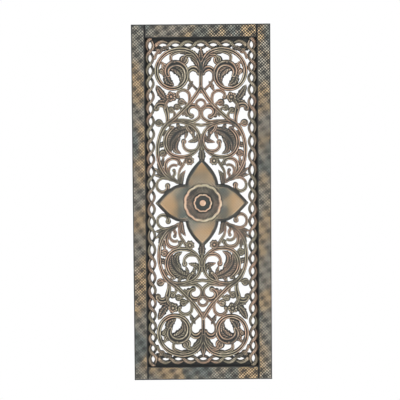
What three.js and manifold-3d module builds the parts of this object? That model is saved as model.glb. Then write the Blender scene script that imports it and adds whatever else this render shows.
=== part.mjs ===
// Carved openwork wall panel: a pierced scrollwork panel with a lotus, in a four-piece frame.
// Millimetres, X across, Z up, the face towards -Y and the back on y = 0.
// The origin is on the back of the top rail, where the panel hangs.
import * as THREE from "three";
import { mergeVertices } from "three/addons/utils/BufferGeometryUtils.js";
import Module from "manifold-3d";

const wasm = await Module();
wasm.setup();

// Overall sizes
const WIDTH = 350;
const HEIGHT = 900;
const THICKNESS = 20;
const BAR = 34;
const HANG = HEIGHT / 2 - BAR / 2;

// Frame bars: worn front edges, and the rebate behind them that holds the carving
const WORN_EDGE = 1.6;
const REBATE_WIDTH = 5;
const REBATE_DEPTH = 9;
const GAP = 0.3;

// Depths of the carving, measured from the back
const GROUND = 8;
const SCROLL = 13;
const PETAL_EDGE = 12.5;
const PETAL_BROW = 15;
const PETAL_FIELD = 16.5;

// Twisted chain round the field
const PITCH = 31.84;
const CHAIN_X = 128;
const CHAIN_Z = 399;
const CHAIN_SWING = 7.6;
const STRAND = 5.6;
const LOOPS_UP = 13;
const LOOPS_ACROSS = 4;
const CUTS = 3;
// Top right and bottom left, the chain's loops lie further out by up to this, from here on
const CREEP = 16.5;
const CREEP_FROM = 60;
// The ground runs in to here at the corners
const CORNER = [108, 384];

// Lotus: four petals round an open flower
const TOP_PETAL = { tip: 112, root: 42, half: 42, ease: 0.85 };
const SIDE_PETAL = { tip: 118, root: 52, half: 47.5, ease: 1 };
const PETAL_RIM = 8.5;
const PETAL_CUTS = 7;
const FLOWER = 50;
const FLOWER_CENTRE = 2;
const FLOWER_SIDES = 24;
const FLOWER_PROFILE = [
  [0, 20],
  [6, 19],
  [8, 16.5],
  [21, 19],
  [24, 16],
  [36, 15.5],
  [45, 18.4],
  [FLOWER, 15.5],
  [FLOWER, 0],
  [0, 0],
];

// How full the stems and leaves are cut, against the widths drawn
const FULLNESS = 1.12;

const DEGREE = Math.PI / 180;
// How closely the tools follow a curve: one more facet for each of these
const FACET_TURN = 64 * DEGREE;
const FACET_RUN = 120;

// ---- Solids ----

function solid(geometry) {
  geometry.deleteAttribute("normal");
  geometry.deleteAttribute("uv");
  const merged = mergeVertices(geometry, 1e-4);
  return new wasm.Manifold(
    new wasm.Mesh({
      numProp: 3,
      vertProperties: new Float32Array(merged.attributes.position.array),
      triVerts: new Uint32Array(merged.index.array),
    }),
  );
}

function meshOf(body) {
  const { vertProperties, triVerts } = body.getMesh();
  const geometry = new THREE.BufferGeometry();
  geometry.setAttribute("position", new THREE.BufferAttribute(new Float32Array(vertProperties), 3));
  geometry.setIndex(new THREE.BufferAttribute(new Uint32Array(triVerts), 1));
  geometry.computeVertexNormals();
  return geometry;
}

// Lays a shape drawn on the floor up against the wall: its height becomes distance to the front
const UPRIGHT = new THREE.Matrix4().set(1, 0, 0, 0, 0, 0, -1, 0, 0, 1, 0, -HANG, 0, 0, 0, 1);

// A flat outline in x and z, filled from one depth to another
function slab(outline, back, front) {
  const shape = new THREE.Shape(outline.map(([x, z]) => new THREE.Vector2(x, z)));
  const geometry = new THREE.ExtrudeGeometry(shape, { depth: front - back, bevelEnabled: false });
  geometry.translate(0, 0, back);
  geometry.applyMatrix4(UPRIGHT);
  return solid(geometry);
}

// Outlines of the same number of points, one above the other, joined by flat facets
function loft(layers) {
  const count = layers[0][0].length;
  const points = [];
  for (const [outline, depth] of layers) {
    for (const [x, z] of outline) {
      points.push(x, z, depth);
    }
  }
  const cap = THREE.ShapeUtils.triangulateShape(layers[0][0].map(([x, z]) => new THREE.Vector2(x, z)), []);
  const clockwise = THREE.ShapeUtils.area(layers[0][0].map(([x, z]) => ({ x, y: z }))) < 0;
  const faces = [];
  const top = (layers.length - 1) * count;
  const add = (a, b, c) => faces.push(...(clockwise ? [a, c, b] : [a, b, c]));
  for (const [a, b, c] of cap) {
    faces.push(a, c, b);
    faces.push(a + top, b + top, c + top);
  }
  for (let k = 0; k < layers.length - 1; k += 1) {
    for (let i = 0; i < count; i += 1) {
      const a = k * count + i;
      const b = k * count + ((i + 1) % count);
      add(a, b, b + count);
      add(a, b + count, a + count);
    }
  }
  const geometry = new THREE.BufferGeometry();
  geometry.setAttribute("position", new THREE.BufferAttribute(new Float32Array(points), 3));
  geometry.setIndex(faces);
  geometry.applyMatrix4(UPRIGHT);
  return solid(geometry);
}

function rectangle(halfWidth, halfHeight) {
  return [
    [-halfWidth, -halfHeight],
    [halfWidth, -halfHeight],
    [halfWidth, halfHeight],
    [-halfWidth, halfHeight],
  ];
}

// A round outline, or a flower's with petals that swell by the scallop
function round([x, z], radius, sides, scallop = 0, petals = 1) {
  const outline = [];
  for (let i = 0; i < sides; i += 1) {
    const angle = (360 * DEGREE * i) / sides;
    const reach = radius - scallop * (0.5 + 0.5 * Math.cos(angle * petals));
    outline.push([x + reach * Math.cos(angle), z + reach * Math.sin(angle)]);
  }
  return outline;
}

// ---- Curves ----

// A value read off an evenly spaced list, t running from 0 to 1
function along(values, t) {
  const place = Math.min(t, 1) * (values.length - 1);
  const i = Math.min(Math.floor(place), values.length - 2);
  return THREE.MathUtils.lerp(values[i], values[i + 1], place - i);
}

// Points on a spiral round an eye; the radii are those at each step of the turn
function spiral([x, z], start, step, radii) {
  const reach = new THREE.SplineCurve(radii.map((radius, i) => new THREE.Vector2(i, radius)));
  const count = 3 * (radii.length - 1);
  const points = [];
  for (let i = 0; i <= count; i += 1) {
    const radius = reach.getPoint(i / count).y;
    const angle = (start + (i / 3) * step) * DEGREE;
    points.push([x + radius * Math.cos(angle), z + radius * Math.sin(angle)]);
  }
  return points;
}

// A smooth curve through the points, as the stops where one facet gives way to the next
function follow(points) {
  const line = points.map(([x, z]) => new THREE.Vector3(x, z, 0));
  const curve = new THREE.CatmullRomCurve3(line, false, "centripetal");
  const fine = 12 * (points.length - 1);
  const stops = [];
  let measure = 0;
  let length = 0;
  for (let i = 0; i <= fine; i += 1) {
    const point = curve.getPoint(i / fine);
    const tangent = curve.getTangent(i / fine);
    const before = stops[i - 1] ?? { point, tangent };
    const run = point.distanceTo(before.point);
    measure += tangent.angleTo(before.tangent) / FACET_TURN + run / FACET_RUN;
    length += run;
    stops.push({ point, tangent, measure, length });
  }
  const facets = Math.max(2, Math.round(measure));
  const chosen = [];
  for (let i = 0; i <= facets; i += 1) {
    const stop = stops.find((each) => each.measure >= (measure * i) / facets - 1e-9);
    chosen.push({ ...stop, t: stop.length / length });
  }
  return chosen;
}

// ---- The drawing: x from the upright axis, z from the level one, mirrored to four quarters ----

let strokes = [];

// A stem
function stem(points, widths, bead = 0) {
  strokes.push({ points, widths, end: bead });
}

// A stem that runs on round an eye as an open scroll
function scroll(points, eye, start, step, radii, widths, bead) {
  stem([...points, ...spiral(eye, start, step, radii)], widths, bead);
}

// A stem that ends in a closed curl
function curl(points, eye, radius) {
  const width = 2.6 + radius * 0.4;
  stem([...points, eye], [width, width], radius);
}

// A pointed leaf
function leaf(points, width) {
  const widths = [0.45, 0.8, 1, 0.9, 0.6, 0.12].map((part) => part * width);
  stem(points, widths);
}

// Crown scroll and what grows in it
scroll(
  [[1, 338], [5, 357]], [70, 322], 133, -45,
  [76, 63, 50, 40.5, 35.5, 33.3, 33.3, 33.8, 34.5, 29, 21, 13],
  [9, 9, 9, 9, 8, 10, 9, 9, 10, 13, 16, 10], 0,
); // crown
leaf([[88, 326], [84, 308], [69, 297]], 18); // crown lobe low
leaf([[80, 342], [62, 338], [49, 324], [52, 306]], 21); // crown lobe mid
curl([[84, 328], [90, 325], [96, 325]], [99, 333], 7.5); // crown tail
curl([[8, 360], [24, 372], [38, 371]], [43, 361], 12); // crown spiral
scroll([[44, 384], [60, 381]], [66, 364], 60, -50, [13, 10, 9, 7.5], [6, 7, 7, 6], 5); // crown hook
curl([[108, 345], [104, 354], [97, 353]], [91, 344], 9); // crown bulb
curl([[116, 366], [112, 377]], [105, 384], 7.5); // corner curl
scroll(
  [[10, 287], [23, 301], [31, 314]], [18, 326], -8, 45, [14.8, 15, 15, 13.5, 12],
  [6, 5, 5, 7, 11, 13, 8], 4.5,
); // drop
leaf([[32, 287], [27, 298], [20, 309]], 9); // drop leaf
// Main stem with its spray of curls
stem(
  [[0, 293], [20, 262], [42, 238], [66, 215], [90, 197], [104, 174], [111, 142], [107, 104], [90, 73], [62, 54]],
  [9, 9, 8, 9, 10, 8, 8, 8, 8, 8],
); // main stem
scroll(
  [[95, 193], [72, 206], [48, 208]], [20, 227], -65, -45, [23, 19.5, 19, 19, 19, 18.5, 16, 11, 9],
  [8, 9, 8, 8, 8, 8, 9, 11, 11, 8], 7,
); // side scroll
scroll(
  [[34, 243], [28, 260]], [49, 270], 165, -45, [20, 17, 14, 12, 10], [6, 7, 7, 7, 6], 5.5,
); // stem hook
curl([[36, 244], [41, 254]], [50, 255], 9.5); // spray 1
curl([[48, 231], [53, 241]], [62, 242], 8.5); // spray 2
curl([[70, 210], [68, 226]], [77, 235], 9); // spray 3
scroll(
  [[87, 200], [86, 218], [89, 234]], [106, 237], 155, -45, [15.5, 12.5, 10.5, 9],
  [6, 9, 12, 11, 10], 8,
); // spray 4
curl([[92, 194], [98, 200]], [108, 203], 10); // spray 5
leaf([[90, 262], [102, 277], [113, 297]], 17); // blossom leaf up
leaf([[88, 258], [102, 255], [117, 243]], 13); // blossom leaf side
stem([[80, 262], [88, 252], [92, 240]], [7, 6, 5]); // blossom stem
// Great scroll and its acanthus
stem([[42, 206], [18, 199], [0, 196]], [7, 7, 7]); // tie
scroll(
  [[98, 190]], [46, 158], 50, 45, [56, 44.5, 43, 42.6, 41.6, 42.5, 47, 46, 42],
  [8, 9, 8, 8, 8, 8, 9, 9, 9, 8], 5,
); // great scroll
leaf([[33, 187], [60, 178], [78, 156], [78, 128]], 24); // acanthus outer
leaf([[57, 162], [67, 149], [66, 134], [52, 124]], 15); // acanthus inner
scroll(
  [[3, 158]], [27, 148], 190, 38, [22, 20, 18, 18.5, 19, 19], [6, 7, 8, 8, 7, 7], 7,
); // inner scroll
leaf([[7, 174], [13, 160], [34, 153]], 12); // inner husk
leaf([[25, 198], [22, 180], [18, 158]], 10); // upper leaf 1
stem([[38, 196], [34, 186], [25, 177]], [6, 7, 6], 4.5); // upper leaf 2
leaf([[44, 190], [38, 177], [42, 160]], 9); // upper leaf 3
stem([[84, 198], [77, 191]], [6, 6], 4.5); // upper bead
curl([[106, 166], [101, 179]], [92, 176], 9); // outer curl
leaf([[112, 143], [100, 149], [84, 152]], 12); // outer leaf
curl([[110, 110], [107, 123]], [97, 127], 10); // lower curl
leaf([[103, 88], [99, 104], [95, 121]], 8); // lower leaf
// Hooks, leaves and scroll at the foot
scroll(
  [[62, 53], [78, 65], [89, 80]], [71, 96], -15, 45, [20.5, 19.5, 17.5, 17, 16],
  [7, 7, 8, 8, 8, 8, 8], 6,
); // foot hook
scroll(
  [[66, 56], [79, 68], [83, 80]], [68, 85], 10, 50, [14.5, 12.5, 11], [6, 6, 6, 6, 6], 0,
); // foot hook inner
stem([[56, 50], [59, 66], [56, 82], [47, 97], [38, 112]], [6, 5, 6, 7, 6]); // foot stem
leaf([[52, 42], [53, 58], [50, 70], [42, 82]], 12); // foot leaf
scroll(
  [[54, 50], [70, 58]], [97, 46], 138, -45, [22.7, 18.5, 17, 16.5, 17, 16.7, 14.5, 11],
  [7, 7, 7, 6, 6, 6, 7, 8, 9], 7,
); // foot scroll
leaf([[82, 64], [99, 78], [112, 101]], 12); // spur 1
leaf([[84, 62], [103, 70], [120, 72]], 11); // spur 3
const quarter = strokes;

// On the upright axis
strokes = [];
stem([[0, 350], [0, 282]], [8, 8]); // axis stem
leaf([[0, 336], [0, 368], [0, 392]], 17); // axis bud
leaf([[0, 104], [0, 120], [0, 140]], 16); // axis bud low
stem([[0, 134], [0, 172]], [4, 4]); // axis foot
const axis = strokes;

const ROSETTE = { centre: [31, 106], radius: 12.5, petals: 8, scallop: 2 };
const BLOSSOM = { centre: [76, 268], radius: 14.5, petals: 5, scallop: 3 };
const RING = { radius: 11.5, width: 7, height: 250 };

// ---- Building ----

// The cutter's hand: the field wanders a little, its borders not at all
function drift([x, z]) {
  const hold = (1 - (x / 150) ** 4) * (1 - (z / 420) ** 4);
  const aside = 1.3 * hold * Math.sin(z / 61 + 0.8) * Math.cos(x / 37);
  const up = 1.5 * hold * Math.sin(x / 43 + z / 90 + 0.5);
  return [x + aside, z + up];
}

function place(points, [right, up]) {
  return points.map(([x, z]) => drift([right * x, up * z]));
}

function strokeParts({ points, widths, end }, side, parts) {
  const stops = follow(points);
  const edges = stops.map(({ point, tangent, t }) => {
    const half = (FULLNESS * along(widths, t)) / 2;
    return [
      [point.x - tangent.y * half, point.y + tangent.x * half],
      [point.x + tangent.y * half, point.y - tangent.x * half],
    ];
  });
  for (let i = 1; i < edges.length; i += 1) {
    const outline = [...edges[i - 1], edges[i][1], edges[i][0]];
    parts.push(slab(place(outline, side), 0, SCROLL));
  }
  if (end > 0) {
    const last = stops[stops.length - 1].point;
    parts.push(slab(place(round([last.x, last.y], end, 6), side), 0, SCROLL));
  }
}

function flowerPart({ centre, radius, petals, scallop }, side) {
  return slab(place(round(centre, radius, petals * 2, scallop, petals), side), 0, SCROLL);
}

function scrollwork() {
  const parts = [];
  for (const up of [1, -1]) {
    for (const right of [1, -1]) {
      for (const each of quarter) {
        strokeParts(each, [right, up], parts);
      }
      parts.push(flowerPart(ROSETTE, [right, up]));
      parts.push(flowerPart(BLOSSOM, [right, up]));
    }
    for (const each of axis) {
      strokeParts(each, [1, up], parts);
    }
    const ring = round([0, RING.height], RING.radius + RING.width / 2, 12);
    const eye = round([0, RING.height], RING.radius - RING.width / 2, 10);
    parts.push(slab(place(ring, [1, up]), 0, SCROLL).subtract(slab(place(eye, [1, up]), -1, SCROLL + 1)));
  }
  return wasm.Manifold.union(parts);
}

// How far a strand swings out from the chain's line, counted in loops along it
function swing(loop) {
  return CHAIN_SWING * Math.sin(Math.PI * loop);
}

// Where the cutter's spacing ran ahead
function creep(side, z) {
  const reach = THREE.MathUtils.clamp((side * z - CREEP_FROM) / (CHAIN_Z - CREEP_FROM), 0, 1);
  return z + side * CREEP * Math.sin(Math.PI * reach);
}

// Two strands that swing across each other along a line
function chainParts(at, from, to, parts) {
  for (const side of [1, -1]) {
    let before;
    for (let i = from * CUTS; i <= to * CUTS; i += 1) {
      const loop = i / CUTS;
      const slope = (CHAIN_SWING * Math.PI * Math.cos(Math.PI * loop)) / PITCH;
      const half = (STRAND / 2) * Math.hypot(1, slope);
      const across = side * swing(loop);
      const now = [at(loop * PITCH, across - half), at(loop * PITCH, across + half)];
      if (before) {
        parts.push(slab([before[0], before[1], now[1], now[0]], 0, SCROLL));
      }
      before = now;
    }
  }
}

function chain() {
  const parts = [];
  for (const side of [1, -1]) {
    const upright = (run, across) => [side * (CHAIN_X + across), creep(side, run)];
    const level = (run, across) => [run - PITCH / 2, side * (CHAIN_Z + across)];
    chainParts(upright, -LOOPS_UP, LOOPS_UP, parts);
    chainParts(level, 1 - LOOPS_ACROSS, LOOPS_ACROSS, parts);
  }
  return wasm.Manifold.union(parts);
}

// The ground's inner edge in one quarter, under the middles of the outer strands
function groundEdge(right, up) {
  const edge = [];
  for (let i = 0; i <= LOOPS_UP * CUTS; i += 1) {
    const loop = i / CUTS;
    edge.push([right * (CHAIN_X + Math.abs(swing(loop))), creep(right, up * loop * PITCH)]);
  }
  const last = LOOPS_UP - 1 / CUTS;
  edge.push([right * (CHAIN_X - Math.abs(swing(last))), up * last * PITCH]);
  for (let i = LOOPS_ACROSS * CUTS; i > CUTS / 2; i -= 1) {
    const loop = i / CUTS;
    edge.push([right * (loop - 0.5) * PITCH, up * (CHAIN_Z + Math.abs(swing(loop)))]);
  }
  return edge;
}

// The sunk ground from the rebate in to the outer strands, and the webs at its corners
function border() {
  const inside = [
    ...groundEdge(1, 1),
    ...groundEdge(-1, 1).reverse(),
    ...groundEdge(-1, -1).slice(1),
    ...groundEdge(1, -1).slice(1).reverse(),
  ];
  const reach = REBATE_WIDTH - GAP - BAR;
  const whole = slab(rectangle(WIDTH / 2 + reach, HEIGHT / 2 + reach), 0, GROUND);
  const parts = [whole.subtract(slab(inside, -1, GROUND + 1))];
  for (const right of [1, -1]) {
    for (const up of [1, -1]) {
      const [near, low] = [CORNER[0] * right, CORNER[1] * up];
      const [far, high] = [(CHAIN_X - CHAIN_SWING) * right, CHAIN_Z * up];
      parts.push(slab([[near, low], [far, low], [far, high], [near, high]], 0, GROUND));
    }
  }
  return wasm.Manifold.union(parts);
}

// A petal's outline, drawn in from its edge by the inset: [out along the petal, across it]
function petal({ tip, root, half, ease }, inset) {
  const side = [];
  for (let i = 0; i <= PETAL_CUTS; i += 1) {
    const s = i / PETAL_CUTS;
    const run = tip - inset * 1.4 - s * (tip - inset * 1.4 - root + inset * 0.5);
    side.push([run, (half - inset) * Math.sin(90 * DEGREE * s) ** ease]);
  }
  const back = side.slice(1).reverse().map(([run, out]) => [run, -out]);
  return [...side, [inset * 2, 0], ...back];
}

// A petal: its edge stands up, its brow slopes back to a raised field
function petalPart(shape, turned, side) {
  const laid = (inset) =>
    petal(shape, inset).map(([run, out]) => (turned ? [side * run, out] : [out, side * run]));
  const low = laid(0);
  const high = laid(PETAL_RIM);
  const layers = [[low, 0], [low, PETAL_EDGE], [high, PETAL_BROW], [high, PETAL_FIELD]];
  return loft(layers);
}

function lotus() {
  const parts = [];
  for (const side of [1, -1]) {
    parts.push(petalPart(TOP_PETAL, false, side));
    parts.push(petalPart(SIDE_PETAL, true, side));
  }
  const profile = FLOWER_PROFILE.map(([radius, depth]) => new THREE.Vector2(radius, depth));
  const flower = new THREE.LatheGeometry(profile.reverse(), FLOWER_SIDES);
  flower.rotateX(90 * DEGREE);
  flower.translate(FLOWER_CENTRE, 0, 0);
  flower.applyMatrix4(UPRIGHT);
  parts.push(solid(flower));
  return wasm.Manifold.union(parts);
}

// The flat faces left by the joins are merged
const carving = wasm.Manifold.union([scrollwork(), chain(), border(), lotus()]).asOriginal().simplify();

// ---- The frame ----

// A bar lying along x with its outer edge at z = 0 and its face to the front, its ends cut square
function bar(length, rebateLength) {
  const section = [
    [0, 0],
    [BAR, 0],
    [BAR, THICKNESS - WORN_EDGE],
    [BAR - WORN_EDGE, THICKNESS],
    [WORN_EDGE, THICKNESS],
    [0, THICKNESS - WORN_EDGE],
  ];
  const shape = new THREE.Shape(section.map(([out, depth]) => new THREE.Vector2(-depth, out)));
  const stick = new THREE.ExtrudeGeometry(shape, { depth: length, bevelEnabled: false });
  stick.translate(0, 0, -length / 2);
  stick.applyMatrix4(new THREE.Matrix4().set(0, 0, 1, 0, 1, 0, 0, 0, 0, 1, 0, 0, 0, 0, 0, 1));
  const groove = new THREE.BoxGeometry(rebateLength, REBATE_DEPTH * 2, REBATE_WIDTH * 2);
  groove.translate(0, 0, BAR);
  return meshOf(solid(stick).subtract(solid(groove)));
}

const STILE_REBATE = HEIGHT - 2 * (BAR - REBATE_WIDTH);
const RAIL_LENGTH = WIDTH - 2 * BAR - 2 * GAP;

const wood = new THREE.MeshStandardMaterial({ color: 0x3f4038, roughness: 0.62, metalness: 0.05 });
const barWood = new THREE.MeshStandardMaterial({ color: 0x5b5a48, roughness: 0.7, metalness: 0.05 });

const panel = new THREE.Group();

function add(name, geometry, material, turn, x, z) {
  const mesh = new THREE.Mesh(geometry, material);
  mesh.name = name;
  mesh.rotation.y = turn * DEGREE;
  mesh.position.set(x, 0, z);
  panel.add(mesh);
}

add("openwork", meshOf(carving), wood, 0, 0, 0);
add("rail_top", bar(RAIL_LENGTH, RAIL_LENGTH + 2), barWood, 180, 0, BAR / 2);
add("rail_bottom", bar(RAIL_LENGTH, RAIL_LENGTH + 2), barWood, 0, 0, BAR / 2 - HEIGHT);
add("stile_left", bar(HEIGHT, STILE_REBATE), barWood, 90, -WIDTH / 2, -HANG);
add("stile_right", bar(HEIGHT, STILE_REBATE), barWood, -90, WIDTH / 2, -HANG);

export default panel;
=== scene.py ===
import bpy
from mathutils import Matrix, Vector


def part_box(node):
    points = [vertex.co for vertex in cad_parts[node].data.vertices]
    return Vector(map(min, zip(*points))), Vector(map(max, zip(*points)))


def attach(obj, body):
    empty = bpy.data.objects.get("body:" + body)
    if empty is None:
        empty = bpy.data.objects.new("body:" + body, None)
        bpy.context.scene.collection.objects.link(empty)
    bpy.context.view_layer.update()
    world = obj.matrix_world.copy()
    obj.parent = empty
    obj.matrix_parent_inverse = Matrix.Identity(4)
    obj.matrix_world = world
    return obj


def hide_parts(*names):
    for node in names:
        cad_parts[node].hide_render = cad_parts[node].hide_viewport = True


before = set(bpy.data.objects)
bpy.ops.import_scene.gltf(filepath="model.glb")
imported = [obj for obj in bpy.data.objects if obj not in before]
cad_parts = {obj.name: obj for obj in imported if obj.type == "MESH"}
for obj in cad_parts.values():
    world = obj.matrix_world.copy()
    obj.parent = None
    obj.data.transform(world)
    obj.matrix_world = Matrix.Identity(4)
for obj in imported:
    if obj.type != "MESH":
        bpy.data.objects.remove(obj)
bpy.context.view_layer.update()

import math

import bpy
import numpy as np
from mathutils import Matrix, Vector

# The drawing is in millimetres: x from the panel's upright axis, z from its level one, and depth
# measured forward from the back. The pieces are made in metres, their face towards -Y.
MM = 0.001
TURN = 2 * math.pi

LOW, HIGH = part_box("openwork")
HALF_WIDE = (HIGH[0] - LOW[0]) / 2 / MM
HALF_HIGH = (HIGH[2] - LOW[2]) / 2 / MM
MIDDLE = (HIGH[2] + LOW[2]) / 2 / MM

# ---- Sizes of the carving ----

STEP = 0.8
FULLNESS = 1.19
TRIANGLES = 192000

GROUND = 8
LOWEST = 7.5
STEM_TOP = 14.2
CURL_TOP = 13.6
LEAF_TOP = 13.4
EDGE_FALL = 3.2
STEM_GROOVE = 2.3
VEIN = 1.5
RIB_PITCH = 5.2

PITCH = 31.84
CHAIN_X = 128
CHAIN_Z = 399
CHAIN_SWING = 7.6
STRAND = 5.6
LOOPS_UP = 13
LOOPS_ACROSS = 4
STRAND_TOP = 12.4
STRAND_LIFT = 1.5
CREEP = 16.5
CREEP_FROM = 60
CORNER = (108, 384)

TOP_PETAL = {"tip": 112, "root": 42, "half": 42, "ease": 0.85, "top": 16.4}
SIDE_PETAL = {"tip": 118, "root": 52, "half": 47.5, "ease": 1, "top": 17}
PETAL_BAND = 8.5
FLOWER = 50.5
FLOWER_CENTRE = (2, 0)
FLOWER_SCALLOPS = 13
FLOWER_RIBS = 64
HEART = 23.7
HEART_PETALS = 10
BOSS = 8

HATCH_ACROSS = 4
HATCH_PITCH = 5.4
HATCH_INSET = 0.9
HATCH_RISE = 0.8
HATCH_CUT = 0.9

WORN_EDGE = 1.6
REBATE_WIDE = 5
REBATE_DEEP = 9
REBATE_END = 421

# ---- The drawing: one quarter, then what stands on the upright axis ----

strokes = []


def stem(points, widths, bead=0):
    strokes.append({"kind": "stem", "points": points, "widths": widths, "end": bead})


def scroll(points, eye, start, step, radii, widths, bead):
    """A stem that runs on round an eye; the radii are those at each step of the turn."""
    stem(points + spiral(eye, start, step, radii), widths, bead)


def curl(points, eye, radius):
    """A stem that ends in a closed curl."""
    width = 2.6 + radius * 0.4
    made = {"kind": "curl", "points": points + [eye], "widths": [width, width], "end": radius}
    strokes.append(made)


def leaf(points, width):
    widths = [part * width for part in (0.45, 0.8, 1, 0.9, 0.6, 0.12)]
    strokes.append({"kind": "leaf", "points": points, "widths": widths, "end": 0})


def spiral(eye, start, step, radii):
    """Points on a spiral, three for each step, its radius passing smoothly from one to the next."""
    count = len(radii)
    points = []
    for place in range(3 * (count - 1) + 1):
        i = min(place // 3, count - 2)
        t = place / 3 - i
        a, b, c, d = (radii[min(max(i + k, 0), count - 1)] for k in (-1, 0, 1, 2))
        bend = (2 * a - 5 * b + 4 * c - d) * t * t + (3 * b - a - 3 * c + d) * t ** 3
        radius = 0.5 * (2 * b + (c - a) * t + bend)
        angle = math.radians(start + place / 3 * step)
        points.append([eye[0] + radius * math.cos(angle), eye[1] + radius * math.sin(angle)])
    return points


# Crown scroll and what grows in it
scroll(
    [[1, 338], [5, 357]], [70, 322], 133, -45,
    [76, 63, 50, 40.5, 35.5, 33.3, 33.3, 33.8, 34.5, 29, 21, 13],
    [9, 9, 9, 9, 8, 10, 9, 9, 10, 13, 16, 10], 0,
)
leaf([[88, 326], [84, 308], [69, 297]], 18)
leaf([[80, 342], [62, 338], [49, 324], [52, 306]], 21)
leaf([[46, 326], [47, 308], [58, 297]], 9)
curl([[84, 328], [90, 325], [96, 325]], [99, 333], 7.5)
leaf([[4, 352], [18, 374], [34, 381], [52, 378]], 16)
curl([[8, 360], [24, 372], [38, 371]], [43, 361], 12)
scroll([[44, 384], [60, 381]], [66, 364], 60, -50, [13, 10, 9, 7.5], [6, 7, 7, 6], 5)
curl([[108, 345], [104, 354], [97, 353]], [91, 344], 9)
curl([[116, 366], [112, 377]], [105, 384], 7.5)
scroll(
    [[10, 287], [23, 301], [31, 314]], [18, 326], -8, 45,
    [14.8, 15, 15, 13.5, 12], [6, 5, 5, 7, 11, 13, 8], 4.5,
)
leaf([[32, 287], [27, 298], [20, 309]], 9)
leaf([[3, 338], [10, 356], [27, 368]], 15)
leaf([[82, 391], [96, 389], [105, 381]], 10)
# Main stem with its spray of curls
stem(
    [[0, 293], [20, 262], [42, 238], [66, 215], [90, 197], [104, 174], [111, 142], [107, 104],
     [90, 73], [62, 54]],
    [9, 9, 8, 9, 10, 8, 8, 8, 8, 8],
)
scroll(
    [[95, 193], [72, 206], [48, 208]], [20, 227], -65, -45,
    [23, 19.5, 19, 19, 19, 18.5, 16, 11, 9], [8, 9, 8, 8, 8, 8, 9, 11, 11, 8], 7,
)
scroll([[34, 243], [28, 260]], [49, 270], 165, -45, [20, 17, 14, 12, 10], [6, 7, 7, 7, 6], 5.5)
curl([[36, 244], [41, 254]], [50, 255], 9.5)
curl([[48, 231], [53, 241]], [62, 242], 8.5)
curl([[70, 210], [68, 226]], [77, 235], 9)
scroll(
    [[87, 200], [86, 218], [89, 234]], [106, 237], 155, -45,
    [15.5, 12.5, 10.5, 9], [6, 9, 12, 11, 10], 8,
)
curl([[92, 194], [98, 200]], [108, 203], 10)
leaf([[90, 262], [102, 277], [113, 297]], 17)
leaf([[88, 258], [102, 255], [117, 243]], 13)
stem([[80, 262], [88, 252], [92, 240]], [7, 6, 5])
# Great scroll and its acanthus
stem([[42, 206], [18, 199], [0, 196]], [7, 7, 7])
scroll(
    [[98, 190]], [46, 158], 50, 45, [56, 44.5, 43, 42.6, 41.6, 42.5, 47, 46, 42],
    [8, 9, 8, 8, 8, 8, 9, 9, 9, 8], 5,
)
leaf([[33, 187], [60, 178], [78, 156], [78, 128]], 24)
leaf([[57, 162], [67, 149], [66, 134], [52, 124]], 15)
scroll([[3, 158]], [27, 148], 190, 38, [22, 20, 18, 18.5, 19, 19], [6, 7, 8, 8, 7, 7], 7)
leaf([[7, 174], [13, 160], [34, 153]], 12)
leaf([[25, 198], [22, 180], [18, 158]], 10)
stem([[38, 196], [34, 186], [25, 177]], [6, 7, 6], 4.5)
leaf([[44, 190], [38, 177], [42, 160]], 9)
leaf([[60, 202], [58, 193], [50, 184]], 9)
stem([[84, 198], [77, 191]], [6, 6], 4.5)
curl([[106, 166], [101, 179]], [92, 176], 9)
leaf([[112, 143], [100, 149], [84, 152]], 12)
curl([[110, 110], [107, 123]], [97, 127], 10)
curl([[46, 222], [42, 227]], [36, 222], 5.5)
leaf([[103, 88], [99, 104], [95, 121]], 8)
# Hooks, leaves and scroll at the foot
scroll(
    [[62, 53], [78, 65], [89, 80]], [71, 96], -15, 45,
    [20.5, 19.5, 17.5, 17, 16], [7, 7, 8, 8, 8, 8, 8], 6,
)
scroll(
    [[66, 56], [79, 68], [83, 80]], [68, 85], 10, 50, [14.5, 12.5, 11], [6, 6, 6, 6, 6], 0,
)
stem([[64, 56], [72, 66], [68, 76], [70, 83]], [5, 6, 7, 6], 4.5)
stem([[56, 50], [59, 66], [56, 82], [47, 97], [38, 112]], [6, 5, 6, 7, 6])
leaf([[52, 42], [53, 58], [50, 70], [42, 82]], 12)
scroll(
    [[54, 50], [70, 58]], [97, 46], 138, -45,
    [22.7, 18.5, 17, 16.5, 17, 16.7, 14.5, 11], [7, 7, 7, 6, 6, 6, 7, 8, 9], 7,
)
leaf([[82, 64], [99, 78], [112, 101]], 12)
leaf([[86, 66], [103, 77], [119, 90]], 11)
leaf([[84, 62], [103, 70], [120, 72]], 11)
quarter = strokes

strokes = []
stem([[0, 350], [0, 282]], [8, 8])
leaf([[0, 336], [0, 368], [0, 392]], 17)
leaf([[0, 104], [0, 120], [0, 140]], 16)
stem([[0, 134], [0, 172]], [4, 4])
axis = strokes

ROSETTE = {"centre": (31, 106), "radius": 12.5, "petals": 8, "scallop": 2}
BLOSSOM = {"centre": (76, 268), "radius": 14.5, "petals": 5, "scallop": 3}
RING = {"radius": 11.5, "width": 7, "height": 250}


# ---- Curves ----

def drift(points):
    """The cutter's hand: the field wanders a little, its borders not at all."""
    x, z = np.asarray(points, float).T
    hold = (1 - (x / 150) ** 4) * (1 - (z / 420) ** 4)
    aside = 1.3 * hold * np.sin(z / 61 + 0.8) * np.cos(x / 37)
    up = 1.5 * hold * np.sin(x / 43 + z / 90 + 0.5)
    return np.stack([x + aside, z + up], 1)


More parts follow.
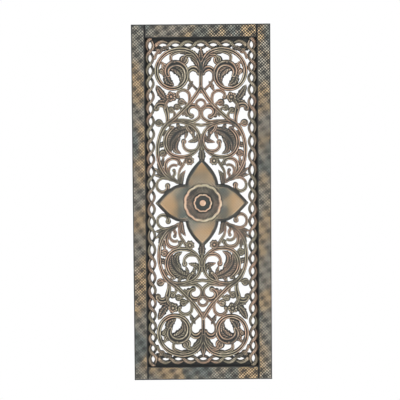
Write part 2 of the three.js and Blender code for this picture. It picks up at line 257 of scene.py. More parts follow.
def smooth(points, steps=7):
    """A centripetal curve through the points, as a fine run of short straights."""
    ends = np.asarray(points, float)
    ends = np.vstack([2 * ends[0] - ends[1], ends, 2 * ends[-1] - ends[-2]])
    run = []
    for a, b, c, d in zip(ends, ends[1:], ends[2:], ends[3:]):
        ta = 0
        tb = ta + np.hypot(*(b - a)) ** 0.5
        tc = tb + np.hypot(*(c - b)) ** 0.5
        td = tc + np.hypot(*(d - c)) ** 0.5
        t = np.linspace(tb, tc, steps, endpoint=False)[:, None]
        ab = ((tb - t) * a + (t - ta) * b) / (tb - ta)
        bc = ((tc - t) * b + (t - tb) * c) / (tc - tb)
        cd = ((td - t) * c + (t - tc) * d) / (td - tc)
        abc = ((tc - t) * ab + (t - ta) * bc) / (tc - ta)
        bcd = ((td - t) * bc + (t - tb) * cd) / (td - tb)
        run.append(((tc - t) * abc + (t - tb) * bcd) / (tc - tb))
    return np.vstack(run + [ends[-2][None]])


# ---- The sheet that the carving is worked out on ----

columns = round(2 * HALF_WIDE / STEP)
rows = round(2 * HALF_HIGH / STEP)
sheet_x = np.linspace(-HALF_WIDE, HALF_WIDE, columns + 1)
sheet_z = np.linspace(-HALF_HIGH, HALF_HIGH, rows + 1)
SHAPE = (rows + 1, columns + 1)
inside = np.full(SHAPE, -99.0)
depth = np.full(SHAPE, 0.0)
# Negative off the petals' hatched pads, and rising over them from the flower to the tips
hatched = np.full_like(depth, -1.0)
# How much more or less than elsewhere the patina is rubbed away, partly real wear and partly
# painted highlight on the raised rims and lips; where negative the surface is darker, painted shade
# in the ring inside the flower's heart
extra_wear_and_painted_light = np.zeros_like(depth)


def window(low, high):
    """The rows and columns of the sheet between two corners."""
    across = slice(*np.searchsorted(sheet_x, (low[0], high[0])))
    up = slice(*np.searchsorted(sheet_z, (low[1], high[1])))
    return up, across


def lay(where, reach, top):
    """Adds a form to the sheet: how far inside its outline each point is, and its depth there."""
    skirt = reach > -2 * STEP
    depth[where] = np.where(skirt, np.maximum(depth[where], top), depth[where])
    inside[where] = np.maximum(inside[where], reach)


def ridge(distance, width):
    return np.exp(-((distance / width) ** 2))


def ease(value, low, high):
    """0 below low, 1 above high, and a soft step between."""
    t = np.clip((value - low) / (high - low), 0, 1)
    return t * t * (3 - 2 * t)


def measure(points, halves):
    """How the sheet lies to a stroke: share of its half width, side, run along it, half width."""
    margin = max(halves) + 3 * STEP
    where = window(points.min(0) - margin, points.max(0) + margin)
    size = (where[0].stop - where[0].start, where[1].stop - where[1].start)
    share = np.full(size, 9.0)
    side = np.zeros(size)
    along = np.zeros(size)
    half = np.full(size, float(halves[0]))
    lengths = np.hypot(*np.diff(points, axis=0).T)
    starts = np.concatenate([[0], np.cumsum(lengths)])
    for i, length in enumerate(lengths):
        if length < 1e-6:
            continue
        a, b = points[i], points[i + 1]
        local = window(np.minimum(a, b) - margin, np.maximum(a, b) + margin)
        spot = tuple(slice(l.start - w.start, l.stop - w.start) for l, w in zip(local, where))
        x = sheet_x[local[1]][None, :] - a[0]
        z = sheet_z[local[0]][:, None] - a[1]
        heading = (b - a) / length
        t = np.clip((x * heading[0] + z * heading[1]) / length, 0, 1)
        width = halves[i] + (halves[i + 1] - halves[i]) * t
        off = np.hypot(x - heading[0] * t * length, z - heading[1] * t * length)
        nearer = off / width < share[spot]
        share[spot] = np.where(nearer, off / width, share[spot])
        side[spot] = np.where(nearer, np.sign(heading[0] * z - heading[1] * x), side[spot])
        along[spot] = np.where(nearer, starts[i] + t * length, along[spot])
        half[spot] = np.where(nearer, width, half[spot])
    return where, share, side, along, half


def stem_depth(share, half, top):
    """Two rounded ridges with a hollow between them."""
    m = np.minimum(share, 1)
    hollow = np.minimum(STEM_GROOVE, 0.42 * half) * ridge(m, 0.3)
    return top - hollow - EDGE_FALL * ease(m, 0.62, 1.05)


def leaf_depth(share, half, along, top):
    """A leaf: a sunk vein, ribs that sweep forward from it, and a falling edge."""
    m = np.minimum(share, 1)
    wide = ease(half, 2, 6)
    ribs = np.cos(TURN * (along - 0.9 * m * half) / RIB_PITCH) * ease(m, 0.15, 0.5)
    body = top - 2.6 * m * m - VEIN * wide * ridge(m, 0.17)
    return body + 0.55 * wide * ribs


def bead_depth(off, radius, top):
    return top - 2.6 * np.clip(off / radius, 0, 1) ** 2.2


def disc(centre, radius):
    """How the sheet lies to a round form: its window, distance and angle."""
    reach = radius + 3 * STEP
    where = window((centre[0] - reach, centre[1] - reach), (centre[0] + reach, centre[1] + reach))
    x = sheet_x[where[1]][None, :] - centre[0]
    z = sheet_z[where[0]][:, None] - centre[1]
    return where, np.hypot(x, z), np.arctan2(z, x)


def curl_depth(off, angle, radius, heading, hand, top):
    """A coil that winds in to a bead, from where the stem comes in."""
    turned = (hand * (angle - heading)) % TURN / TURN
    coil = 0.5 * radius
    groove = radius * (1.02 - 0.5 * turned)
    cut = ridge(off - groove, 0.09 * radius + 0.5) + ridge(off - groove + coil, 0.09 * radius + 0.5)
    cut = np.minimum(cut, 1) * ease(off, 0.16 * radius, 0.3 * radius)
    fall = EDGE_FALL * ease(off / radius, 0.78, 1.04)
    return top - 2.2 * cut - fall - 0.9 * ease(0.4 - off / radius, 0, 0.3) * (1 - turned)


def place_stroke(stroke, right, up, order):
    """Cuts one stroke of the drawing in one quarter."""
    points = smooth(drift(np.asarray(stroke["points"]) * (right, up)))
    run = np.concatenate([[0], np.cumsum(np.hypot(*np.diff(points, axis=0).T))])
    marks = np.linspace(0, 1, len(stroke["widths"]))
    halves = FULLNESS / 2 * np.interp(run / run[-1], marks, stroke["widths"])
    where, share, side, along, half = measure(points, halves)
    tops = {"stem": STEM_TOP, "curl": CURL_TOP, "leaf": LEAF_TOP}
    top = tops[stroke["kind"]] + 0.35 * math.sin(order * 2.4)
    if stroke["kind"] == "leaf":
        lobes = 1 + 0.1 * ease(half, 3, 6) * np.cos(TURN * (along - 0.9 * half) / RIB_PITCH)
        share = share / lobes
        lay(where, (1 - share) * half, leaf_depth(share, half, along, top))
    else:
        lay(where, (1 - share) * half, stem_depth(share, half, top))
    if stroke["end"] > 0:
        eye, radius = points[-1], stroke["end"]
        where, off, angle = disc(eye, radius)
        if radius > 5.2:
            came = points[-1 - len(points) // 3] - eye
            before = points[-1 - len(points) // 3] - points[-2 - len(points) // 3]
            hand = np.sign(came[0] * before[1] - came[1] * before[0])
            heading = math.atan2(came[1], came[0]) - hand * 1.2
            lay(where, radius - off, curl_depth(off, angle, radius, heading, hand, top))
        else:
            lay(where, radius - off, bead_depth(off, radius, top + 0.6))


def place_flower(flower, right, up, top):
    """A small open flower: petals round a button."""
    centre = drift([np.multiply(flower["centre"], (right, up))])[0]
    where, off, angle = disc(centre, flower["radius"])
    lobe = 0.5 + 0.5 * np.cos(angle * flower["petals"] + math.pi)
    edge = flower["radius"] - flower["scallop"] * (1 - lobe)
    m = np.clip(off / edge, 0, 1)
    cleft = ridge((1 - lobe) - 1, 0.12) * ease(m, 0.3, 0.6)
    vein = ridge(lobe - 1, 0.05) * ease(m, 0.35, 0.5)
    body = top - 1.6 * ridge(m - 0.36, 0.12) - 1.9 * cleft - 0.7 * vein - 2.4 * ease(m, 0.75, 1.05)
    body = body + 0.8 * ridge(m, 0.28)
    lay(where, edge - off, body)


def place_ring(up):
    centre = drift([[0, up * RING["height"]]])[0]
    where, off, _ = disc(centre, RING["radius"] + RING["width"])
    half = RING["width"] / 2
    share = np.abs(off - RING["radius"]) / half
    lay(where, (1 - share) * half, stem_depth(share, half, STEM_TOP))


def carve_scrollwork():
    for up in (1, -1):
        for right in (1, -1):
            for order, stroke in enumerate(quarter):
                place_stroke(stroke, right, up, order)
            place_flower(ROSETTE, right, up, 14.6)
            place_flower(BLOSSOM, right, up, 14.8)
        for order, stroke in enumerate(axis):
            place_stroke(stroke, 1, up, order)
        place_ring(up)


def creep(side, z):
    """Top right and bottom left the cutter's spacing ran ahead: the loops lie further out."""
    reach = np.clip((side * z - CREEP_FROM) / (CHAIN_Z - CREEP_FROM), 0, 1)
    return z + side * CREEP * np.sin(math.pi * reach)


def carve_chain():
    """Two strands that swing across each other, one over and then the other."""
    fine = 8
    for side in (1, -1):
        for strand in (1, -1):
            loops = np.arange(-LOOPS_UP * fine, LOOPS_UP * fine + 1) / fine
            swing = CHAIN_SWING * np.sin(math.pi * loops) * strand
            up = np.stack([side * (CHAIN_X + swing), creep(side, loops * PITCH)], 1)
            carve_strand(up, -strand, 0, loops)
            loops = np.arange((1 - LOOPS_ACROSS) * fine, LOOPS_ACROSS * fine + 1) / fine
            swing = CHAIN_SWING * np.sin(math.pi * loops) * strand
            across = np.stack([(loops - 0.5) * PITCH, side * (CHAIN_Z + swing)], 1)
            carve_strand(across, -strand, 0.5, loops)


def carve_strand(points, hand, shift, loops):
    """One strand; it passes over at every other crossing, by its hand."""
    halves = np.full(len(points), FULLNESS * STRAND / 2)
    where, share, _, along, half = measure(points, halves)
    run = np.concatenate([[0], np.cumsum(np.hypot(*np.diff(points, axis=0).T))])
    loop = np.interp(along, run, loops)
    over = hand * np.cos(math.pi * loop) * np.clip((loop - shift) * 2, -1, 1)
    top = STRAND_TOP + STRAND_LIFT * over
    m = np.minimum(share, 1)
    lay(where, (1 - share) * half, top - 0.9 * ridge(m, 0.22) - 2.4 * ease(m, 0.55, 1.05))


def carve_border():
    """The sunk ground from the rebate in to the outer strands."""
    x = np.abs(sheet_x)[None, :] + 0 * sheet_z[:, None]
    z = np.abs(sheet_z)[:, None] + 0 * sheet_x[None, :]
    even = np.linspace(-CHAIN_Z - PITCH, CHAIN_Z + PITCH, 400)
    loop = [np.interp(sheet_z, creep(side, even), even / PITCH)[:, None] for side in (-1, 1)]
    loop = np.where(sheet_x[None, :] < 0, loop[0], loop[1])
    beside = x - CHAIN_X - CHAIN_SWING * np.abs(np.sin(math.pi * loop))
    above = z - CHAIN_Z - CHAIN_SWING * np.abs(np.sin(math.pi * (x / PITCH + 0.5)))
    corner = (x > CHAIN_X - PITCH / 2) & (z > CHAIN_Z - PITCH / 2)
    hole = np.hypot(x - CHAIN_X, (z - (LOOPS_UP - 0.5) * PITCH) / 1.9) - 7.5
    reach = np.where(corner, np.maximum(beside, np.minimum(above, hole)), np.maximum(beside, above))
    patch = np.minimum(np.minimum(x - CORNER[0], CHAIN_X - CHAIN_SWING - x), z - CORNER[1])
    reach = np.maximum(reach, patch)
    marks = 0.25 * np.sin(x * 0.9 + 2 * np.sin(z * 0.23)) * np.sin(z * 0.7 + np.sin(x * 0.31))
    lay((slice(None), slice(None)), reach, GROUND + marks * (x < 140) * (z < 415))


def hatch(x, z):
    """Raised diamonds between crossed cuts, 1 on their tops and 0 in the cuts."""
    a = np.abs((x + z) / math.sqrt(2) / HATCH_PITCH % 1 - 0.5) * 2
    b = np.abs((x - z) / math.sqrt(2) / HATCH_PITCH % 1 - 0.5) * 2
    return 1 - np.maximum(ease(a, 0.55, 1), ease(b, 0.55, 1))


def carve_petal(shape, turned, sign):
    """A pointed petal: a raised hatched pad, and a plain band that falls away round it."""
    x = sheet_x[None, :] + 0 * sheet_z[:, None]
    z = sheet_z[:, None] + 0 * sheet_x[None, :]
    run, out = (sign * x, z) if turned else (sign * z, x)
    s = np.clip((shape["tip"] - run) / (shape["tip"] - shape["root"]), 0, 1)
    wave = np.sin(math.pi / 2 * s)
    half = shape["half"] * wave ** shape["ease"] * np.clip(run / 20, 0, 1)
    slope = shape["half"] * math.pi / 2 * np.cos(math.pi / 2 * s) / (shape["tip"] - shape["root"])
    reach = (half - np.abs(out)) / np.sqrt(1 + slope ** 2)
    reach = np.where(run > shape["tip"], -np.hypot(run - shape["tip"], out), reach)
    reach = np.where(run < 0, -99, reach)
    top = shape["top"]
    band = top - 5 + 2.6 * ease(reach, 0, 2.5) + 1.2 * ease(reach, 1, PETAL_BAND)
    roll = 2.2 * ridge(reach - 4, 3.5) * ease(shape["root"] + 14 - run, 0, 16)
    pad = ease(reach, PETAL_BAND - 1.2, PETAL_BAND)
    lip = 0.7 * ridge(reach - PETAL_BAND - 0.3, 1.1)
    field = -HATCH_CUT * (1 - hatch(x, z)) * ease(reach, PETAL_BAND + 1, PETAL_BAND + 2)
    body = band + roll + pad * (top - band - roll) * 0.9 + lip + field * pad
    keep = reach > -2 * STEP
    depth[keep] = np.maximum(depth, body)[keep]
    on_pad = reach > PETAL_BAND
    hatched[on_pad] = 0.3 + 0.7 * ease(run, 35, shape["tip"])[on_pad]
    # Lighter on the raised lip round the pad, partly rubbed wear and partly painted highlight;
    # darker on the band round it.
    rim_wear_and_painted_light = 0.8 * ridge(reach - PETAL_BAND - 0.3, 1.3) - 0.35 * (reach < PETAL_BAND)
    extra_wear_and_painted_light[keep] += rim_wear_and_painted_light[keep]
    np.maximum(inside, reach, out=inside)


def carve_lotus():
    for sign in (1, -1):
        carve_petal(TOP_PETAL, False, sign)
    for sign in (1, -1):
        carve_petal(SIDE_PETAL, True, sign)
    where, off, angle = disc(FLOWER_CENTRE, FLOWER)
    lobe = np.abs(np.cos(angle * (FLOWER_SCALLOPS / 2) + 0.3))
    edge = FLOWER - 2 * (1 - lobe ** 0.7)
    rim = 3.0 * ridge(off - edge + 5, 3.6)
    ribs = 0.45 * np.cos(angle * FLOWER_RIBS) * ease(off, HEART + 1, HEART + 5)
    ribs = ribs * ease(edge - off, 5, 9)
    dish = 15.4 + 1.4 * ease(HEART + 14 - off, 0, 14) + rim + ribs
    dish = dish - 1.1 * (1 - lobe) ** 3 * ease(off, 36, 44)
    petals = np.abs(np.cos(angle * (HEART_PETALS / 2)))
    heart_edge = HEART - 1.6 * (1 - petals ** 0.7)
    heart = 16.6 + 2.6 * ridge(off - heart_edge + 2.4, 2) + 0.5 * ridge(off - BOSS - 3, 1.5)
    heart = heart - 0.8 * (1 - petals) ** 3 * ease(off, 11, 18)
    boss = 17 + 2.7 * np.sqrt(np.clip(1 - (off / BOSS) ** 2, 0, 1))
    body = np.where(off < heart_edge, heart, dish - 1.4 * ridge(off - heart_edge, 1.8))
    on_flower = off < edge
    hatched[where][on_flower] = -1
    # Lighter on the flower's rim, the heart's rim, the ribs' crests and the boss, partly rubbed
    # wear and partly painted highlight; darker in the ring inside the heart, painted shade.
    rim_wear_and_painted_light = 0.75 * ridge(off - edge + 4, 4) + 0.8 * ridge(off - heart_edge + 2.2, 2.4) + ribs * 0.5
    rim_wear_and_painted_light += 0.6 * (off < BOSS) - 0.3 * (off > BOSS) * (off < HEART - 6)
    extra_wear_and_painted_light[where][on_flower] = (rim_wear_and_painted_light - 0.15)[on_flower]
    body = np.where(off < BOSS, np.maximum(body - 1, boss), body)
    body = body - 3 * ease(off - edge, -1.2, 1)
    spot = edge - off
    depth[where] = np.where(spot > 0, body, depth[where])
    inside[where] = np.maximum(inside[where], spot)


def soften(values, weights, times):
    """Smooths a sheet of values, counting only the wood."""
    total, share = values * weights, weights.copy()
    for _ in range(times):
        for sheet in (total, share):
            sheet[1:-1] = (sheet[:-2] + 2 * sheet[1:-1] + sheet[2:]) / 4
            sheet[:, 1:-1] = (sheet[:, :-2] + 2 * sheet[:, 1:-1] + sheet[:, 2:]) / 4
    return total / np.maximum(share, 1e-6)


def read_sheet(values, x, z):
    """Reads a sheet of values between its points."""
    column = np.clip((x + HALF_WIDE) / (2 * HALF_WIDE) * columns, 0, columns - 1e-6)
    row = np.clip((z + HALF_HIGH) / (2 * HALF_HIGH) * rows, 0, rows - 1e-6)
    c, r = column.astype(int), row.astype(int)
    u, v = column - c, row - r
    low = values[r, c] * (1 - u) + values[r, c + 1] * u
    high = values[r + 1, c] * (1 - u) + values[r + 1, c + 1] * u
    return low * (1 - v) + high * v


# ---- Small helpers for working on a mesh ----

def edit(mode="FACE"):
    bpy.ops.object.mode_set(mode="EDIT")
    bpy.ops.mesh.select_mode(type=mode)


def leave():
    bpy.ops.object.mode_set(mode="OBJECT")


def vertices(piece):
    flat = np.empty(len(piece.data.vertices) * 3)
    piece.data.vertices.foreach_get("co", flat)
    return flat.reshape(-1, 3)


def move_vertices(piece, places):
    piece.data.vertices.foreach_set("co", np.asarray(places, float).ravel())
    piece.data.update()


def pick(piece, kind, chosen):
    """Selects vertices, edges or faces, from object mode."""
    bpy.ops.object.mode_set(mode="EDIT")
    bpy.ops.mesh.select_mode(type={"vertices": "VERT", "edges": "EDGE", "polygons": "FACE"}[kind])
    bpy.ops.mesh.select_all(action="DESELECT")
    leave()
    getattr(piece.data, kind).foreach_set("select", np.asarray(chosen, bool))


def apply_modifier(piece, kind, **settings):
    made = piece.modifiers.new(kind.lower(), kind)
    for key, value in settings.items():
        setattr(made, key, value)
    bpy.ops.object.modifier_apply(modifier=made.name)


def write_attribute(piece, name, values):
    made = piece.data.attributes.new(name, "FLOAT", "POINT")
    made.data.foreach_set("value", np.asarray(values, np.float32))


def start_piece(name, across, high, columns_used, rows_used):
    """A flat sheet stood upright, facing the front."""
    bpy.ops.object.select_all(action="DESELECT")
    bpy.ops.mesh.primitive_grid_add(
        x_subdivisions=columns_used, y_subdivisions=rows_used, size=1, location=(0, 0, 0)
    )
    piece = bpy.context.object
    piece.name = name
    piece.data.name = name
    stand = Matrix.Rotation(math.radians(90), 4, "X")
    piece.data.transform(stand @ Matrix.Diagonal((across * MM, high * MM, 1, 1)))
    return piece


def finish_piece(piece, node, material, angle):
    bpy.ops.object.shade_smooth_by_angle(angle=math.radians(angle))
    piece.data.materials.clear()
    piece.data.materials.append(material)
    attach(piece, "root")
    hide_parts(node)


# ---- The openwork ----

def kept_cells():
    """The cells of the sheet that are wood, with no two meeting at a corner alone."""
    middle = (inside[:-1, :-1] + inside[1:, :-1] + inside[:-1, 1:] + inside[1:, 1:]) / 4
    kept = middle > 0
    while True:
        a, b, c, d = kept[:-1, :-1], kept[:-1, 1:], kept[1:, :-1], kept[1:, 1:]
        one = a & d & ~b & ~c
        other = b & c & ~a & ~d
        if not one.any() and not other.any():
            return kept
        kept[:-1, 1:] |= one
        kept[:-1, :-1] |= other


def make_openwork(material):
    carve_scrollwork()
    carve_chain()
    carve_border()
    carve_lotus()
    wood = (inside > 0).astype(float)
    raised = depth - soften(depth, wood, 7)
    broad = soften(depth, wood, 40)
    # The rims' extra wear and painted highlight join the rub; their painted shade joins the dark
    # attribute.
    rub = 0.2 + 0.9 * raised + extra_wear_and_painted_light
    hollow_patina_and_painted_shade = 0.45 * (broad - depth) - 0.05 + 0.12 * (12 - depth)
    hollow_patina_and_painted_shade = hollow_patina_and_painted_shade - 0.55 * np.minimum(raised, 0) - extra_wear_and_painted_light
    # Painted shade: a darker band along every cut edge of the openwork, where the wood meets a
    # hole.
    hollow_patina_and_painted_shade = hollow_patina_and_painted_shade + 0.6 * (1 - ease(inside, 0.4, 2.8))
    rub = np.clip(np.where(hatched < 0, rub, 0.5 + extra_wear_and_painted_light), 0, 1)
    hollow_patina_and_painted_shade = np.clip(np.where(hatched < 0, hollow_patina_and_painted_shade, 0), 0, 1)

    piece = start_piece("carved_openwork", 2 * HALF_WIDE, 2 * HALF_HIGH, columns, rows)
    places = vertices(piece)
    kept = kept_cells()
    centres = np.empty(len(piece.data.polygons) * 3)
    piece.data.polygons.foreach_get("center", centres)
    centres = centres.reshape(-1, 3) / MM
    column = np.floor((centres[:, 0] + HALF_WIDE) / (2 * HALF_WIDE) * columns).astype(int)
    row = np.floor((centres[:, 2] + HALF_HIGH) / (2 * HALF_HIGH) * rows).astype(int)
    pick(piece, "polygons", ~kept[row, column])
    edit()
    bpy.ops.mesh.delete(type="FACE")
    bpy.ops.mesh.select_all(action="DESELECT")
    bpy.ops.mesh.select_mode(type="VERT")
    bpy.ops.mesh.select_non_manifold()
    leave()

    border = np.empty(len(piece.data.vertices), bool)
    piece.data.vertices.foreach_get("select", border)
    places = vertices(piece) / MM
    x, z = places[:, 0].copy(), places[:, 2].copy()
    outer = (np.abs(x) > HALF_WIDE - 0.1) | (np.abs(z) > HALF_HIGH - 0.1)
    moving = border & ~outer
    slope_z, slope_x = np.gradient(inside, 2 * HALF_HIGH / rows, 2 * HALF_WIDE / columns)
    for _ in range(2):
        away = read_sheet(inside, x, z)
        gx, gz = read_sheet(slope_x, x, z), read_sheet(slope_z, x, z)
        pull = np.clip(away / np.maximum(np.hypot(gx, gz), 0.5), -0.7 * STEP, 0.7 * STEP)
        size = np.maximum(np.hypot(gx, gz), 1e-6)
        x = np.where(moving, x - pull * gx / size * 0.9, x)
        z = np.where(moving, z - pull * gz / size * 0.9, z)
    move_vertices(piece, np.stack([x, np.zeros_like(x), z], 1) * MM)
    edit()
    bpy.ops.mesh.select_all(action="SELECT")
    bpy.ops.mesh.extrude_region_move()
    leave()
    places = vertices(piece)
    is_front = np.empty(len(places), bool)
    piece.data.vertices.foreach_get("select", is_front)
    sunk = np.maximum(read_sheet(depth, places[:, 0] / MM, places[:, 2] / MM), LOWEST)
    places[:, 1] = np.where(is_front, -sunk * MM, 0)
    move_vertices(piece, places)
    edit()
    bpy.ops.mesh.select_all(action="SELECT")
    bpy.ops.mesh.normals_make_consistent(inside=False)
    bpy.ops.mesh.quads_convert_to_tris()
    leave()
    apply_modifier(piece, "DECIMATE", ratio=TRIANGLES / len(piece.data.polygons))
    places = vertices(piece)
    x, z = places[:, 0] / MM, places[:, 2] / MM
    face = (places[:, 1] < -2 * MM).astype(float)
    write_attribute(piece, "rub", read_sheet(rub, x, z) * face)
    write_attribute(piece, "hollow_patina_and_painted_shade", np.where(face > 0, read_sheet(hollow_patina_and_painted_shade, x, z), 0.4))
    write_attribute(piece, "face", face)
    write_attribute(piece, "pad", read_sheet(np.maximum(hatched, 0), x, z) * face)
    places[:, 2] += MIDDLE * MM
    move_vertices(piece, places)
    finish_piece(piece, "openwork", material, 50)
    return piece


# ---- The frame's bars ----

def make_bar(name, node, material, inner, seed):
    """A bar with a hatched face: diamonds cut all over it, worn edges and a rebate behind."""
    low, high = (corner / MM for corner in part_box(node))
    size, centre = high - low, (high + low) / 2
    thick = size[1]
    cell = (min(size[0], size[2]) - 2 * WORN_EDGE) / HATCH_ACROSS
    face = (size[0] - 2 * WORN_EDGE, size[2] - 2 * WORN_EDGE)
    across, up = (round(length / cell) for length in face)
    piece = start_piece(name, face[0], face[1], across, up)
    edit()
    bpy.ops.mesh.select_all(action="SELECT")
    bpy.ops.mesh.poke()
    leave()
    ends = np.empty(len(piece.data.edges) * 2, int)
    piece.data.edges.foreach_get("vertices", ends)
    places = vertices(piece) / MM
    a, b = places[ends[0::2]], places[ends[1::2]]
    level = np.abs(a[:, 2] - b[:, 2]) < 0.01
    plumb = np.abs(a[:, 0] - b[:, 0]) < 0.01
    rim = (level & (np.abs(np.abs(a[:, 2]) - face[1] / 2) < 0.01)) | (
        plumb & (np.abs(np.abs(a[:, 0]) - face[0] / 2) < 0.01)
    )
    pick(piece, "edges", (level | plumb) & ~rim)
    edit("EDGE")
    bpy.ops.mesh.dissolve_edges(use_verts=False, use_face_split=False)
    bpy.ops.mesh.select_mode(type="FACE")
    bpy.ops.mesh.select_all(action="SELECT")
    bpy.ops.mesh.inset(
        thickness=HATCH_INSET * MM, depth=HATCH_RISE * MM, use_individual=True, use_even_offset=True
    )
    leave()
    places = np.abs(vertices(piece) / MM)
    at_corner = (places[:, 0] > face[0] / 2 - 0.01) & (places[:, 2] > face[1] / 2 - 0.01)
    write_attribute(piece, "crease_vert", at_corner.astype(float))
    apply_modifier(piece, "SUBSURF", levels=2, render_levels=2, boundary_smooth="PRESERVE_CORNERS")
    places = vertices(piece) / MM
    rise = -places[:, 1]
    waves = np.random.default_rng(seed).uniform(0, TURN, 6)
    x, z = places[:, 0].copy(), places[:, 2].copy()
    hand = np.sin(x * 0.21 + z * 0.13 + waves[0]) + np.sin(z * 0.31 - x * 0.17 + waves[1])
    inner_area = (np.abs(x) < face[0] / 2 - 1) & (np.abs(z) < face[1] / 2 - 1)
    places[:, 0] += 0.35 * np.sin(z * 0.37 + waves[2]) * inner_area
    places[:, 2] += 0.35 * np.sin(x * 0.43 + z * 0.05 + waves[3]) * inner_area
    wear = np.clip(0.78 + 0.14 * hand, 0.3, 1)
    places[:, 1] = -(thick - HATCH_RISE + rise * wear)
    move_vertices(piece, places * MM)
    rub = np.clip(rise / HATCH_RISE * wear, 0, 1)
    write_attribute(piece, "rub", rub)
    close_bar(piece, size, face, inner)
    places = vertices(piece)
    places += np.array([centre[0], 0, centre[2]]) * MM
    move_vertices(piece, places)
    finish_piece(piece, node, material, 40)
    return piece


def close_bar(piece, size, face, inner):
    """Carries the face's rim over the worn edge, down the sides and across the back."""
    thick = size[1]
    steps = [
        (0.65 * WORN_EDGE, thick - 0.35 * WORN_EDGE, 0),
        (WORN_EDGE, thick - WORN_EDGE, 0),
        (WORN_EDGE, REBATE_DEEP, 0),
        (WORN_EDGE, REBATE_DEEP, REBATE_WIDE),
        (WORN_EDGE, 0, REBATE_WIDE),
    ]
    edit("VERT")
    bpy.ops.mesh.select_all(action="DESELECT")
    bpy.ops.mesh.select_non_manifold()
    bpy.ops.mesh.select_mode(type="EDGE")
    leave()
    for out, forward, cut in steps:
        edit("EDGE")
        bpy.ops.mesh.extrude_edges_move()
        leave()
        places = vertices(piece) / MM
        chosen = np.empty(len(places), bool)
        piece.data.vertices.foreach_get("select", chosen)
        for k, half in ((0, face[0] / 2), (2, face[1] / 2)):
            reached = chosen & (np.abs(places[:, k]) > half - 0.02)
            place = np.sign(places[:, k]) * (half + out)
            places[:, k] = np.where(reached, place, places[:, k])
        if cut:
            k, sign = inner
            at_edge = chosen & (sign * places[:, k] > size[k] / 2 - 0.02)
            if k == 0:
                at_edge &= np.abs(places[:, 2]) < REBATE_END
            places[:, k] = np.where(at_edge, sign * (size[k] / 2 - cut), places[:, k])
        places[:, 1] = np.where(chosen, -forward, places[:, 1])
        move_vertices(piece, places * MM)
    edit("EDGE")
    bpy.ops.mesh.edge_face_add()
    bpy.ops.mesh.select_all(action="SELECT")
    bpy.ops.mesh.normals_make_consistent(inside=False)
    leave()


# ---- Finishes ----

class Amount:
    """A number that changes over a surface, with plain arithmetic."""

    def __init__(self, finish, socket):
        self.finish = finish
        self.socket = socket

    def math(self, operation, *others):
        values = {i: value for i, value in enumerate((self, *others))}
        return self.finish.node("ShaderNodeMath", values, operation=operation)

    def __add__(self, other):
        return self.math("ADD", other)

    def __sub__(self, other):
        return self.math("SUBTRACT", other)

    def __mul__(self, other):
        return self.math("MULTIPLY", other)

    def __rsub__(self, other):
        return self.finish.node("ShaderNodeMath", {0: other, 1: self}, operation="SUBTRACT")

    __radd__ = __add__
    __rmul__ = __mul__

    def between(self, low, high):
        """0 below low and 1 above high."""
        values = {"Value": self, "From Min": low, "From Max": high}
        return self.finish.node("ShaderNodeMapRange", values, interpolation_type="SMOOTHSTEP")


class Finish:
    """A procedural finish, built up node by node."""

    def __init__(self, name):
        self.material = bpy.data.materials.new(name)
        self.material.use_nodes = True
        self.tree = self.material.node_tree
        self.shader = self.tree.nodes["Principled BSDF"]
        self.place = self.node("ShaderNodeTexCoord", output="Object")

    def feed(self, socket, value):
        if isinstance(value, Amount):
            self.tree.links.new(value.socket, socket)
        else:
            socket.default_value = value

    def node(self, kind, inputs=None, output=0, **settings):
        made = self.tree.nodes.new(kind)
        for key, value in settings.items():
            setattr(made, key, value)
        for key, value in (inputs or {}).items():
            self.feed(made.inputs[key], value)
        return Amount(self, made.outputs[output])

    def attribute(self, name):
        return self.node("ShaderNodeAttribute", output="Fac", attribute_name=name)

    def noise(self, scale, detail=3, roughness=0.5, stretch=(1, 1, 1)):
        place = self.node("ShaderNodeMapping", {"Vector": self.place, "Scale": stretch})
        values = {"Vector": place, "Scale": scale, "Detail": detail, "Roughness": roughness}
        return self.node("ShaderNodeTexNoise", values)

    def hatching(self, pitch):
        """Crossed cuts on the slant: 1 in the cuts and 0 on the diamonds between them."""
        x = self.node("ShaderNodeSeparateXYZ", {"Vector": self.place}, output="X")
        z = self.node("ShaderNodeSeparateXYZ", {"Vector": self.place}, output="Z")
        turns = 1 / (pitch * MM * math.sqrt(2))
        one = ((x + z) * turns).math("PINGPONG", 0.5) * 2
        other = ((x - z) * turns).math("PINGPONG", 0.5) * 2
        return (1 - one.math("MINIMUM", other)).between(0.45, 0.85)

    def blend(self, under, over, share):
        values = {0: share, 6: under, 7: over}
        return self.node("ShaderNodeMix", values, output=2, data_type="RGBA")

    def bump(self, height, strength, distance):
        values = {"Height": height, "Strength": strength, "Distance": distance}
        return self.node("ShaderNodeBump", values)

    def dress(self, **values):
        for key, value in values.items():
            self.feed(self.shader.inputs[key.replace("_", " ")], value)
        return self.material


def colour(red, green, blue):
    """A colour given in the eye's steps from 0 to 255, as light."""
    steps = (value / 255 for value in (red, green, blue))
    return (*((s / 12.92 if s < 0.04045 else ((s + 0.055) / 1.055) ** 2.4) for s in steps), 1)


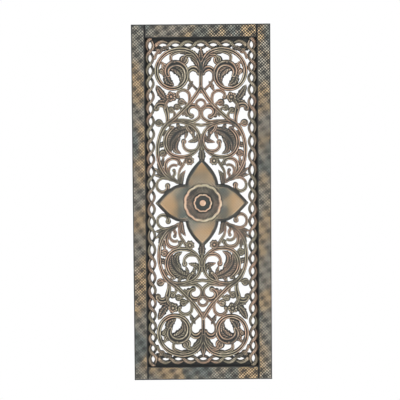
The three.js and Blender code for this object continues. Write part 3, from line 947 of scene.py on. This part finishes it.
def carved_patina():
    """Dark blue-green patina, rubbed back to bronze and copper on the ridges, with painted
    highlight on the flower's and petals' rims and painted shade along the cut edges.
    """
    it = Finish("rubbed_bronze_patina")
    rub = it.attribute("rub")
    hollow_patina_and_painted_shade = it.attribute("hollow_patina_and_painted_shade")
    face = it.attribute("face")
    patches = it.noise(14, 2).between(0.4, 0.6)
    clouds = it.noise(34, 3).between(0.35, 0.68)
    grain = it.noise(900, 4, 0.7)
    pad = it.attribute("pad")
    dark = it.blend(colour(20, 31, 31), colour(34, 30, 25), patches)
    body = it.blend(dark, colour(56, 52, 45), clouds * 0.5)
    worn = it.blend(colour(186, 152, 128), colour(160, 152, 128), patches)
    worn = it.blend(worn, colour(214, 200, 178), it.noise(110, 2).between(0.5, 0.72) * 0.6)
    share = (rub + grain * 0.5 - 0.25 + clouds * 0.12).between(0.3, 0.85)
    top = it.blend(body, worn, share * 0.9)
    toward_tip = (pad + patches * 0.3).between(0.35, 1)
    field = it.blend(colour(74, 88, 84), colour(190, 152, 104), toward_tip)
    pale = (grain + clouds * 0.2).between(0.5, 0.8) * 0.5
    field = it.blend(field, colour(222, 208, 184), pale)
    field = it.blend(field, colour(16, 22, 21), it.hatching(HATCH_PITCH) * 0.85)
    top = it.blend(top, field, pad.between(0.05, 0.25))
    # Near-black where the attribute is high: patina in the hollows and grooves, and painted shade
    # along the cut edges and in the ring inside the flower's heart.
    shade = it.blend(top, colour(10, 13, 12), hollow_patina_and_painted_shade.between(0, 0.5))
    back = it.blend(colour(70, 55, 42), colour(98, 78, 58), it.noise(40, 5, 0.6, (1, 1, 0.06)))
    tint = it.blend(back, shade, face)
    fine = it.noise(1400, 3, 0.6)
    normal = it.bump(fine, 0.25, 0.0004)
    rough = 0.6 - share * 0.16 + grain * 0.12
    return it.dress(Base_Color=tint, Roughness=rough, Metallic=share * 0.25, Normal=normal)


def frame_patina():
    """The bars: mottled olive, gold-brown and teal over the hatch, dark in its cuts."""
    it = Finish("mottled_frame_patina")
    rub = it.attribute("rub")
    gold = it.noise(11, 2).between(0.42, 0.6)
    teal = it.noise(17, 2, 0.5, (1, 1, 0.6)).between(0.5, 0.62)
    speck = it.noise(420, 4, 0.7)
    body = it.blend(colour(158, 152, 137), colour(192, 164, 122), gold)
    body = it.blend(body, colour(104, 118, 116), teal * 0.8)
    body = it.blend(body, colour(206, 182, 160), it.noise(60, 3).between(0.55, 0.75) * 0.5)
    cut = it.blend(colour(14, 16, 15), body, (rub + speck * 0.8 - 0.4).between(0.3, 0.8))
    normal = it.bump(it.noise(1100, 3, 0.6), 0.25, 0.0004)
    rough = 0.64 + speck * 0.15 - rub * 0.12
    return it.dress(Base_Color=cut, Roughness=rough, Metallic=rub * 0.15, Normal=normal)


# ---- Camera, lights and floor ----

def aim(item, target):
    item.rotation_euler = (Vector(target) - item.location).to_track_quat("-Z", "Y").to_euler()


def add_light(name, place, target, size, power):
    lamp = bpy.data.lights.new(name, "AREA")
    lamp.energy = power
    lamp.size = size
    item = bpy.data.objects.new(name, lamp)
    item.location = place
    bpy.context.collection.objects.link(item)
    aim(item, target)


def set_stage():
    centre_z = MIDDLE * MM
    camera = bpy.data.objects.new("camera", bpy.data.cameras.new("camera"))
    bpy.context.collection.objects.link(camera)
    reach, view_wide = 3.0, 1.014
    tilt, roll = math.radians(2.8), math.radians(-0.48)
    look = Vector((-0.005, -0.01, centre_z + 0.0075))
    camera.location = look + Vector((0, -math.cos(tilt), math.sin(tilt))) * reach
    aim(camera, look)
    camera.rotation_euler.rotate_axis("Z", roll)
    camera.data.lens = camera.data.sensor_width * reach / view_wide
    bpy.context.scene.camera = camera

    world = bpy.data.worlds.new("white_room")
    world.use_nodes = True
    world.node_tree.nodes["Background"].inputs["Color"].default_value = (1, 1, 1, 1)
    world.node_tree.nodes["Background"].inputs["Strength"].default_value = 1
    bpy.context.scene.world = world
    bpy.context.scene.view_settings.view_transform = "Standard"

    add_light("key", (2.0, -1.6, -1.2), (0, 0, centre_z), 0.9, 60)
    add_light("fill", (-1.9, -1.8, 0.9), (0, 0, centre_z), 1.0, 45)

    bpy.ops.object.select_all(action="DESELECT")
    bpy.ops.mesh.primitive_plane_add(size=4, location=(0, 0, LOW[2] - 0.55))
    floor = bpy.context.object
    floor.name = "floor"
    pale = Finish("pale_floor")
    shade = pale.blend(colour(236, 235, 232), colour(244, 243, 240), pale.noise(3, 2))
    floor.data.materials.append(pale.dress(Base_Color=shade, Roughness=0.9))


set_stage()
make_openwork(carved_patina())
frame_finish = frame_patina()
make_bar("hatched_rail_top", "rail_top", frame_finish, (2, -1), 1)
make_bar("hatched_rail_bottom", "rail_bottom", frame_finish, (2, 1), 2)
make_bar("hatched_stile_left", "stile_left", frame_finish, (0, 1), 3)
make_bar("hatched_stile_right", "stile_right", frame_finish, (0, -1), 4)
